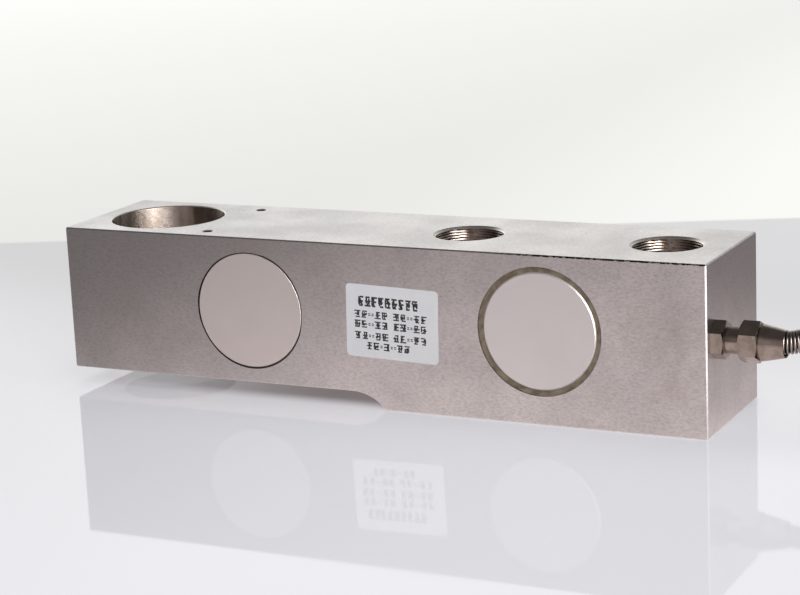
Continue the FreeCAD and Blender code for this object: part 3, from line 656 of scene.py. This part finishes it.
def makeSpring(settings):
    # centre line: straight along X, then easing into the leaning direction; the wire's circle is
    # carried round that line once for each pitch, so ring = line + helix + small circle
    up, back = (math.radians(value) for value in settings["lean"])
    lean = np.array([math.cos(up) * math.cos(back), math.cos(up) * math.sin(back), math.sin(up)])
    pivot, ahead = np.array(settings["pivot"]), np.array([1.0, 0.0, 0.0])
    steps = round(settings["length"] / settings["pitch"] * settings["stepsPerTurn"])
    travelled = np.linspace(0.0, settings["length"], steps + 1)
    beyond = travelled - (settings["pivot"][0] - settings["start"])
    after = 0.5 * (beyond + np.sqrt(beyond ** 2 + settings["bend"] ** 2))  # smooth max(beyond, 0)
    before = beyond - after
    line = pivot + before[:, None] * ahead + after[:, None] * lean
    forward = np.gradient(line, axis=0)
    forward /= np.linalg.norm(forward, axis=1)[:, None]
    side = np.cross(forward, (0.0, 0.0, 1.0))
    side /= np.linalg.norm(side, axis=1)[:, None]
    over = np.cross(side, forward)
    turn = (2 * np.pi * travelled / settings["pitch"])[:, None]
    outward = np.cos(turn) * side + np.sin(turn) * over
    radius, thick = (settings["diameter"] - settings["wire"]) / 2, settings["wire"] / 2
    coil = line + radius * outward
    section = np.linspace(0, 2 * np.pi, settings["wireSides"] + 1)[:-1]
    rings = (coil[:, None] + thick * (np.cos(section)[None, :, None] * outward[:, None]
                                      + np.sin(section)[None, :, None] * forward[:, None]))
    obj = gridMesh("springCoils", rings * mm, wrap=True, caps=(0, -1))
    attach(obj, "root")
    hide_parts("strain_relief_spring")
    obj.data.materials.append(plainMetal("springWire", settings["finish"]))


# the label's print
wordPair = ((-16.4, (2.7, 2.7, 1.1, 1.1, 2.7, 2.7)), (0.5, (2.7, 2.7, 1.1, 1.1, 2.7, 2.7)))
labelPrint = {
    "centre": (-62.1, 35.7),
    "turn": -1.7,          # degrees
    "rows": (              # height above the label's middle, cell height, and runs: start, widths
        (8.0, 4.1, ((-14.7, (2.6,) * 9),)),
        (2.75, 2.9, wordPair),
        (-1.25, 2.9, wordPair),
        (-5.9, 2.9, ((-16.3, wordPair[0][1]), wordPair[1])),
        (-9.9, 2.9, ((-11.3, (2.7, 2.7, 1.1, 2.7, 1.1, 1.1, 2.7, 2.7)),)),
    ),
    "gap": 0.33,
    "narrow": 1.5,         # cells narrower than this hold two short lines
    "dash": 0.175,         # thickness, like the values below a share of the cell's width or height
    "narrowLines": {"heights": (-0.1, 0.12), "long": 0.8, "thick": 0.7},
    "lying": {"count": 3, "span": 0.42, "long": (0.55, 1.0), "stray": 0.4},
    "standing": {"count": 2, "span": 0.36, "long": (0.5, 0.85), "stray": 0.1},
    "slanting": {"count": 2, "span": 0.25, "long": (0.35, 0.6), "stray": 0.2,
                 "slant": (0.5, 2.6)},
    "seed": 11,
    "lift": 0.02,
    "liftEach": 0.0001,
    "finish": {"tones": ((0.02, 0.02, 0.022), (0.05, 0.05, 0.055)), "roughness": 0.6,
               "clouds": 900.0, "height": 0.002},
}


def dashesOfCell(draw, settings, middle, height, wide, tall):
    # middle across and up, length, thickness and slant of each dash in one cell
    thick = settings["dash"] * tall
    if wide < settings["narrow"]:
        pair = settings["narrowLines"]
        return [(middle, height + lift * tall, pair["long"] * wide, pair["thick"] * thick, 0.0)
                for lift in pair["heights"]]
    dashes = []
    lying, standing, slanting = settings["lying"], settings["standing"], settings["slanting"]
    for step in np.linspace(-lying["span"], lying["span"], lying["count"]):
        share = draw.uniform(*lying["long"])
        aside = (1 - share) * wide * draw.uniform(-lying["stray"], lying["stray"])
        dashes.append((middle + aside, height + step * tall, share * wide, thick, 0.0))
    for step in draw.uniform(-standing["span"], standing["span"], standing["count"]):
        stray = draw.uniform(-standing["stray"], standing["stray"])
        dashes.append((middle + step * wide, height + stray * tall,
                       tall * draw.uniform(*standing["long"]), thick, math.pi / 2))
    for step in draw.uniform(-slanting["span"], slanting["span"], slanting["count"]):
        stray = draw.uniform(-slanting["stray"], slanting["stray"])
        dashes.append((middle + step * wide, height + stray * tall,
                       tall * draw.uniform(*slanting["long"]), thick,
                       draw.uniform(*slanting["slant"])))
    return dashes


def makeLabelPrint(settings):
    # each cell is a small lattice of dashes, like a line of print from too far away to read
    draw = np.random.default_rng(settings["seed"])
    dashes = []
    for height, tall, runs in settings["rows"]:
        for start, widths in runs:
            for wide in widths:
                dashes += dashesOfCell(draw, settings, start + wide / 2, height, wide, tall)
                start += wide + settings["gap"]
    x, z, long, thick, slant = np.array(dashes).T
    along = np.stack([np.cos(slant), np.sin(slant)], -1) * long[:, None] / 2
    across = np.stack([-np.sin(slant), np.cos(slant)], -1) * thick[:, None] / 2
    middles = np.stack([x, z], -1)
    corners = np.stack([middles - along - across, middles + along - across,
                        middles + along + across, middles - along + across], 1)
    turn = math.radians(settings["turn"])
    spin = np.array([[math.cos(turn), math.sin(turn)], [-math.sin(turn), math.cos(turn)]])
    corners = corners @ spin + np.array(settings["centre"])
    # later dashes lie a hair further out, so that no two faces coincide
    out = (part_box("wiring_label")[0][1] / mm - settings["lift"]
           - settings["liftEach"] * np.arange(len(x)))
    flat = np.repeat(out[:, None], 4, 1)
    points = np.stack([corners[..., 0], flat, corners[..., 1]], -1).reshape(-1, 3) * mm
    mesh = bpy.data.meshes.new("labelPrint")
    mesh.from_pydata(points, [], np.arange(len(points)).reshape(-1, 4).tolist())
    obj = bpy.data.objects.new("labelPrint", mesh)
    bpy.context.collection.objects.link(obj)
    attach(obj, "root")
    obj.data.materials.append(plainSolid("printInk", settings["finish"]))


# the bar
barSteel = {
    "tone": (0.66, 0.64, 0.63),
    "toneOther": (0.60, 0.585, 0.575),   # in the cloudy patches
    "clouds": 34.0,
    "patchNoise": (0.36, 0.66),
    # painted shade: a darker, greyer tone that fades out from the left end towards the middle
    "leftShadeTone": (0.24, 0.265, 0.27),
    "leftShade": (0.25, 0.0),                 # share of it, from the loaded end to the end of the span below
    "leftShadeAcross": (-20.0, 20.0),         # the first counted from the loaded end
    "brownCloudTone": (0.42, 0.36, 0.33),     # faint brownish clouds
    "brownCloud": (0.15, 0.55),               # share of it, from left to right
    "brownCloudAcross": (-80.0, 50.0),
    "brownCloudNoise": (0.50, 0.74),
    "brownCloudShape": {"scale": 16.0, "Detail": 5.0, "Roughness": 0.62, "Distortion": 0.8},
    "stretch": (620.0, 1500.0, 1500.0),  # short grain along the bar
    "streakTone": (0.34, 0.32, 0.31),
    "streakNoise": (0.38, 0.68),
    "streak": 0.38,
    "pitTone": (0.22, 0.20, 0.185),
    "pits": {"Scale": 1100.0, "Amount": 0.55},
    "pit": 0.5,
    "roughness": (0.28, 0.40),
    "roughNoise": (0.3, 0.7),
    "roughShares": (0.6, 0.4),           # of patches and streaks in that noise
    "grainHeight": 0.014,
    # pale edges: worn steel, and a painted highlight where the chamfers catch the light
    "edgeWearHighlightTone": (0.90, 0.89, 0.88),
    "edgeWidth": 0.55,
    "edge": 0.55,                        # share of the pale tone at the edges: partly worn steel, partly a painted highlight
    "edgeSmooth": 0.1,                   # how much smoother they are
    "burrAndShadowTone": (0.05, 0.045, 0.04),     # also of the shadow gap round the front gauge cover
    "burrAcross": (-28.0, 2.0),          # where the burr begins, from left to right
    "burrWidth": 0.66,
    "burrNoise": (0.44, 0.53),
    "burrClouds": 700.0,
    "gapReach": (0.10, 0.45),
    "gapDepth": 0.5,
    "gapClouds": 40.0,
    "gapNoise": (0.35, 0.65),
    # painted highlight: a pale tan band on the chamfer round each bore's mouth
    "rimHighlightTone": (0.88, 0.82, 0.70),
    "rimWidth": 0.5,
    "rim": 0.7,
    # painted light and shade on the bores' walls: a tone darker than the faces, with darker bands
    # by angle round each bore
    "boreLightBandTone": (0.50, 0.445, 0.40),
    "boreShadeBandTone": (0.20, 0.15, 0.115),
    "boreNoise": (0.40, 0.66),
    "boreSmooth": 0.14,                  # how much smoother a bore's wall is
    "markDepth": 0.055,                  # of the feed marks, over their pitch
    "bores": (           # centre, radius, feed pitch, share of the depth, how mottled along it
        ((-180.975, 0.0, 0.0), 23.8, 0.5, 1.7, 8.0), ((-41.275, 0.0, 0.0), 13.5, 1.1, 1.6, 110.0),
        ((41.275, 0.0, 0.0), 13.5, 1.1, 1.6, 110.0), ((-148.525, 22.3, 0.0), 2.2, 0.8, 1.5, 60.0),
        ((-148.525, -22.3, 0.0), 2.2, 0.8, 1.5, 60.0)),
}


def gapRoundCover(tree, place, face, settings):
    # a thin shadow round the front gauge cover's sealant, uneven where the sealant rose in it
    x, y, z = split(tree, place)
    low, high = (Vector(corner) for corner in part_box("front_gauge_sealant"))
    centre = (low + high) / 2
    away = farFrom(tree, minus(tree, x, centre[0]), minus(tree, z, centre[2]))
    beyond = minus(tree, away, (high[0] - low[0]) / 2)
    reach = spread(tree, noise(tree, place, settings["gapClouds"]), *settings["gapNoise"],
                   *vectorMm(settings["gapReach"]))
    return times(tree, maths(tree, "LESS_THAN", beyond, reach),
                 maths(tree, "LESS_THAN", y, face + settings["gapDepth"] * mm))


def burrOnEdge(tree, place, face, top, settings):
    # a dark, broken line along the top of the front face: distance to both faces added together
    x, y, z = split(tree, place)
    corner = maths(tree, "LESS_THAN", plus(tree, minus(tree, top, z), minus(tree, y, face)),
                   settings["burrWidth"] * mm)
    ragged = noise(tree, place, settings["burrClouds"], Detail=4.0)
    begun = spread(tree, x, *vectorMm(settings["burrAcross"]))
    return times(tree, corner, times(tree, spread(tree, ragged, *settings["burrNoise"]), begun))


def steelOfBar(settings):
    low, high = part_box("beam")
    made, tree, shader = newMaterial("groundSteel", settings["tone"],
                                     settings["roughness"][0], 1.0)
    place = objectPlace(tree)
    x = split(tree, place)[0]
    grain = useGroup(tree, metalGrain, Place=place, Stretch=settings["stretch"],
                     Cloud=settings["clouds"])
    edgeMask = useGroup(tree, edgeWearAndHighlight, Place=place, Low=tuple(low), High=tuple(high),
                    Width=settings["edgeWidth"] * mm)["Mask"]
    pits = useGroup(tree, speckle, Place=place, **settings["pits"])["Mask"]
    colour = blendColours(tree, spread(tree, grain["Patch"], *settings["patchNoise"]),
                          settings["tone"], settings["toneOther"])
    # painted shade, darker and greyer towards the left end
    shadeFrom, shadeTo = vectorMm(settings["leftShadeAcross"])
    leftShade = spread(tree, x, low[0] + shadeFrom, shadeTo, *settings["leftShade"])
    cloud = noise(tree, place, **settings["brownCloudShape"])
    browned = times(tree, spread(tree, cloud, *settings["brownCloudNoise"]),
                    spread(tree, x, *vectorMm(settings["brownCloudAcross"]), *settings["brownCloud"]))
    streak = times(tree, spread(tree, grain["Streak"], *settings["streakNoise"]),
                   settings["streak"])
    for share, tone in ((leftShade, "leftShadeTone"), (browned, "brownCloudTone"), (streak, "streakTone"),
                        (times(tree, pits, settings["pit"]), "pitTone")):
        colour = blendColours(tree, share, colour, settings[tone])
    ofPatch, ofStreak = settings["roughShares"]
    mixed = plus(tree, times(tree, grain["Patch"], ofPatch), times(tree, grain["Streak"], ofStreak))
    rough = spread(tree, mixed, *settings["roughNoise"], *settings["roughness"])
    height = times(tree, grain["Streak"], settings["grainHeight"])
    for centre, radius, pitch, depth, mottle in settings["bores"]:
        marks = useGroup(tree, boreMarks, Place=place, Centre=vectorMm(centre),
                         Radius=radius * mm, Pitch=pitch * mm, Rim=settings["rimWidth"] * mm,
                         Mottle=mottle)
        # painted bands of light and shade round the bore's wall
        wall = blendColours(tree, spread(tree, marks["BandNoise"], *settings["boreNoise"]),
                            settings["boreLightBandTone"], settings["boreShadeBandTone"])
        colour = blendColours(tree, marks["Mask"], colour, wall)
        # painted highlight on the bore's chamfer
        colour = blendColours(tree, times(tree, marks["Rim"], settings["rim"]), colour,
                              settings["rimHighlightTone"])
        rings = times(tree, marks["Rings"], settings["markDepth"] * pitch * depth)
        height = plus(tree, height, times(tree, rings, marks["Mask"]))
        rough = minus(tree, rough, times(tree, marks["Mask"], settings["boreSmooth"]))
    # pale edges, partly wear and partly a painted highlight
    colour = blendColours(tree, times(tree, edgeMask, settings["edge"]), colour, settings["edgeWearHighlightTone"])
    gap = gapRoundCover(tree, place, low[1], settings)
    burr = burrOnEdge(tree, place, low[1], high[2], settings)
    # the burr's dark line, and the painted shadow round the gauge cover
    for share in (gap, burr):
        colour = blendColours(tree, share, colour, settings["burrAndShadowTone"])
    tree.links.new(colour, shader.inputs["Base Color"])
    tree.links.new(minus(tree, rough, times(tree, edgeMask, settings["edgeSmooth"])),
                   shader.inputs["Roughness"])
    bumpFrom(tree, shader, height, mm)
    return made


# the smaller pieces
plainFinishes = {
    # brown sealant in the thin gaps round the gauge covers, painted near black as the gaps' shade,
    # with brown clouds
    "sealantInShade": {
        "tones": ((0.035, 0.025, 0.016), (0.10, 0.065, 0.035)), "roughness": 0.45,
        "clouds": 160.0, "height": 0.10, "nodes": ("front_gauge_sealant", "rear_gauge_sealant")},
    "khakiSealant": {
        "tones": ((0.31, 0.25, 0.18), (0.17, 0.13, 0.09)), "roughness": 0.42,
        "clouds": 240.0, "height": 0.12, "nodes": ("wiring_sealant",)},
    "labelPaper": {
        "tones": ((0.97, 0.97, 1.0), (0.94, 0.94, 0.98)), "roughness": 0.32,
        "clouds": 120.0, "height": 0.01, "nodes": ("wiring_label",)},
    "siliconeCoat": {
        "tones": ((0.80, 0.80, 0.75), (0.70, 0.70, 0.65)), "roughness": 0.28,
        "clouds": 220.0, "height": 0.05, "nodes": ("front_gauge_coating", "rear_gauge_coating")},
    "wireEnamel": {
        "tones": ((0.62, 0.09, 0.05), (0.50, 0.06, 0.04)), "roughness": 0.34,
        "clouds": 500.0, "height": 0.006,
        "nodes": ("rear_gauge_wires", "bridge_wires", "inner_cores")},
    "padFoam": {
        "tones": ((0.10, 0.10, 0.10), (0.05, 0.05, 0.05)), "roughness": 0.85,
        "clouds": 900.0, "height": 0.08, "nodes": ("board_adhesive_pad",)},
    "resistorCase": {
        "tones": ((0.05, 0.05, 0.055), (0.09, 0.09, 0.09)), "roughness": 0.30,
        "clouds": 700.0, "height": 0.01, "nodes": ("trim_resistors",)},
    "compensatorLacquer": {
        "tones": ((0.42, 0.22, 0.09), (0.30, 0.15, 0.06)), "roughness": 0.22,
        "clouds": 400.0, "height": 0.02, "nodes": ("temperature_compensator",)},
    "sealRubber": {
        "tones": ((0.035, 0.035, 0.037), (0.055, 0.055, 0.055)), "roughness": 0.55,
        "clouds": 600.0, "height": 0.01, "nodes": ("gland_o_ring", "gland_seal_bush")},
    "tieNylon": {
        "tones": ((0.76, 0.75, 0.69), (0.68, 0.67, 0.60)), "roughness": 0.36,
        "clouds": 300.0, "height": 0.02, "nodes": ("coil_tie_a", "coil_tie_b", "coil_tie_c")},
    "shrinkSleeve": {
        "tones": ((0.03, 0.03, 0.032), (0.05, 0.05, 0.05)), "roughness": 0.50,
        "clouds": 350.0, "height": 0.05, "nodes": ("end_sleeve",)},
}

metalFinishes = {
    "gaugeCoverSteel": {
        "tones": ((0.76, 0.70, 0.68), (0.72, 0.66, 0.64)), "roughness": (0.46, 0.54),
        "stretch": (700, 700, 700), "clouds": 30.0, "height": 0.004, "metallic": 0.65,
        "nodes": ("front_gauge_cover", "rear_gauge_cover")},
    "wiringCoverSteel": {
        "tones": ((0.80, 0.76, 0.76), (0.76, 0.72, 0.72)), "roughness": (0.42, 0.50),
        "stretch": (700, 700, 700), "clouds": 26.0, "height": 0.003, "metallic": 0.65,
        "nodes": ("wiring_cover",)},
    "nickelPlate": {
        "tones": ((0.36, 0.31, 0.27), (0.24, 0.20, 0.165)), "roughness": (0.08, 0.20),
        "stretch": (900, 300, 300), "clouds": 220.0, "height": 0.002,
        "nodes": ("gland_body", "gland_nut")},
    "tinnedPads": {
        "tones": ((0.78, 0.77, 0.74), (0.62, 0.60, 0.55)), "roughness": (0.24, 0.40),
        "stretch": (900, 900, 900), "clouds": 500.0, "height": 0.006, "specks": 0.4,
        "nodes": ("front_gauge_terminals", "rear_gauge_terminals")},
    "solder": {
        "tones": ((0.76, 0.76, 0.78), (0.60, 0.60, 0.62)), "roughness": (0.16, 0.34),
        "stretch": (700, 700, 700), "clouds": 600.0, "height": 0.008, "specks": 0.4,
        "nodes": ("board_solder_pins",)},
    "turnedBrass": {
        "tones": ((0.80, 0.60, 0.29), (0.66, 0.48, 0.22)), "roughness": (0.22, 0.36),
        "stretch": (3000, 300, 300), "clouds": 260.0, "height": 0.004, "specks": 0.3,
        "nodes": ("gland_thrust_washer", "cable_ferrule")},
}

coreFinish = {
    "tones": {"core_red": (0.66, 0.035, 0.025), "core_black": (0.03, 0.03, 0.032),
              "core_green": (0.03, 0.38, 0.11), "core_white": (0.84, 0.84, 0.81),
              "core_shield": (0.80, 0.62, 0.06)},
    "roughness": 0.38,
    "clouds": 700.0,
    "cloudNoise": (0.35, 0.65),
    "shade": (0.8, 0.01),  # darker tone: share of the insulation's, and what is added
    "bareEnd": 6.0,        # tinned strands past the insulation
    "strandTwist": 2200.0,
    "strandEdge": (-0.6, 0.6),
    "strandHeight": 0.06,
    "tinTone": (0.80, 0.79, 0.77),
    "tinDark": (0.42, 0.40, 0.37),
}

gaugeFilm = {
    "tones": ((0.62, 0.36, 0.10), (0.50, 0.27, 0.07)),
    "roughness": 0.3,
    "clouds": 200.0,
    "foilTone": (0.62, 0.60, 0.56),
    "foilMetallic": 0.8,
    "gridWaves": 9000.0,   # radians for each metre across the grid's lines
    "gridEdge": (-0.2, 0.2),
    "height": 0.01,
}

boardMask = {
    "tone": (0.02, 0.17, 0.06),
    "roughness": 0.28,
    "trackTone": (0.05, 0.32, 0.12),
    "trackPitch": (2.5, 5.0),    # along X and up
    "alongEdge": (0.6, 0.7),
    "upEdge": (0.75, 0.85),
    "clouds": 180.0,
    "breaks": (0.42, 0.5),
    "height": 0.03,
}


def coreInsulation(name, settings):
    # coloured insulation, and bare tinned strands twisted together at the far end
    tone = settings["tones"][name]
    made, tree, shader = newMaterial(name.replace("core_", "coreSkin"), tone,
                                     settings["roughness"])
    place = objectPlace(tree)
    x, y, z = split(tree, place)
    bare = maths(tree, "GREATER_THAN", x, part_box(name)[1][0] - settings["bareEnd"] * mm)
    cloud = noise(tree, place, settings["clouds"], Detail=3.0)
    share, added = settings["shade"]
    skin = blendColours(tree, spread(tree, cloud, *settings["cloudNoise"]), tone,
                        tuple(share * part + added for part in tone))
    across = plus(tree, plus(tree, x, y), z)
    strands = maths(tree, "SINE", times(tree, across, settings["strandTwist"] * math.pi))
    tin = blendColours(tree, spread(tree, strands, *settings["strandEdge"]),
                       settings["tinDark"], settings["tinTone"])
    tree.links.new(blendColours(tree, bare, skin, tin), shader.inputs["Base Color"])
    tree.links.new(bare, shader.inputs["Metallic"])
    height = times(tree, times(tree, strands, bare), settings["strandHeight"])
    bumpFrom(tree, shader, height, mm)
    return made


def foilOfGauge(settings):
    # amber film with the foil's fine diagonal grid
    made, tree, shader = newMaterial("gaugeFoil", settings["tones"][0], settings["roughness"])
    place = objectPlace(tree)
    x, _, z = split(tree, place)
    lines = maths(tree, "SINE", times(tree, plus(tree, x, z), settings["gridWaves"]))
    foil = spread(tree, lines, *settings["gridEdge"])
    film = blendColours(tree, noise(tree, place, settings["clouds"], Detail=3.0),
                        *settings["tones"])
    tree.links.new(blendColours(tree, foil, film, settings["foilTone"]),
                   shader.inputs["Base Color"])
    tree.links.new(times(tree, foil, settings["foilMetallic"]), shader.inputs["Metallic"])
    bumpFrom(tree, shader, foil, settings["height"] * mm)
    return made


def laminateOfBoard(settings):
    # green solder mask over copper tracks on a grid
    made, tree, shader = newMaterial("boardLaminate", settings["tone"], settings["roughness"])
    place = objectPlace(tree)
    x, _, z = split(tree, place)
    along, up = vectorMm(settings["trackPitch"])
    run = maths(tree, "SINE", times(tree, x, 2 * math.pi / along))
    cross = maths(tree, "SINE", times(tree, z, 2 * math.pi / up))
    grid = maths(tree, "MAXIMUM", spread(tree, run, *settings["alongEdge"]),
                 spread(tree, cross, *settings["upEdge"]))
    broken = spread(tree, noise(tree, place, settings["clouds"]), *settings["breaks"])
    track = times(tree, grid, broken)
    tree.links.new(blendColours(tree, track, settings["tone"], settings["trackTone"]),
                   shader.inputs["Base Color"])
    bumpFrom(tree, shader, track, settings["height"] * mm)
    return made


def dress(material, *names):
    for name in names:
        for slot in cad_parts[name].material_slots:
            slot.material = material


def dressNodes():
    dress(steelOfBar(barSteel), "beam")
    for name, finish in metalFinishes.items():
        dress(plainMetal(name, finish), *finish["nodes"])
    for name, finish in plainFinishes.items():
        dress(plainSolid(name, finish), *finish["nodes"])
    for name in coreFinish["tones"]:
        dress(coreInsulation(name, coreFinish), name)
    dress(foilOfGauge(gaugeFilm), "front_shear_gauge", "rear_shear_gauge")
    dress(laminateOfBoard(boardMask), "compensation_board")


def main():
    placeCamera(viewpoint)
    bpy.context.scene.view_settings.view_transform = "Standard"
    makeTable(table, tableInMetal)
    makeRoom(room)
    placeLamps(lamps)
    print("studio set up")
    cord = makeCable(cable)
    jacket = jacketOfCable(cable)
    cord.data.materials.append(jacket)
    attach(cord, "root")
    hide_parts("cable", "cable_coil", "cable_tail")
    dress(jacket, "cable_lead_in")
    print("cable laid, length", round(lengthOf(cord), 4))
    makeSpring(guardSpring)
    makeLabelPrint(labelPrint)
    print("spring and label print made")
    dressNodes()
    print("materials placed")


main()
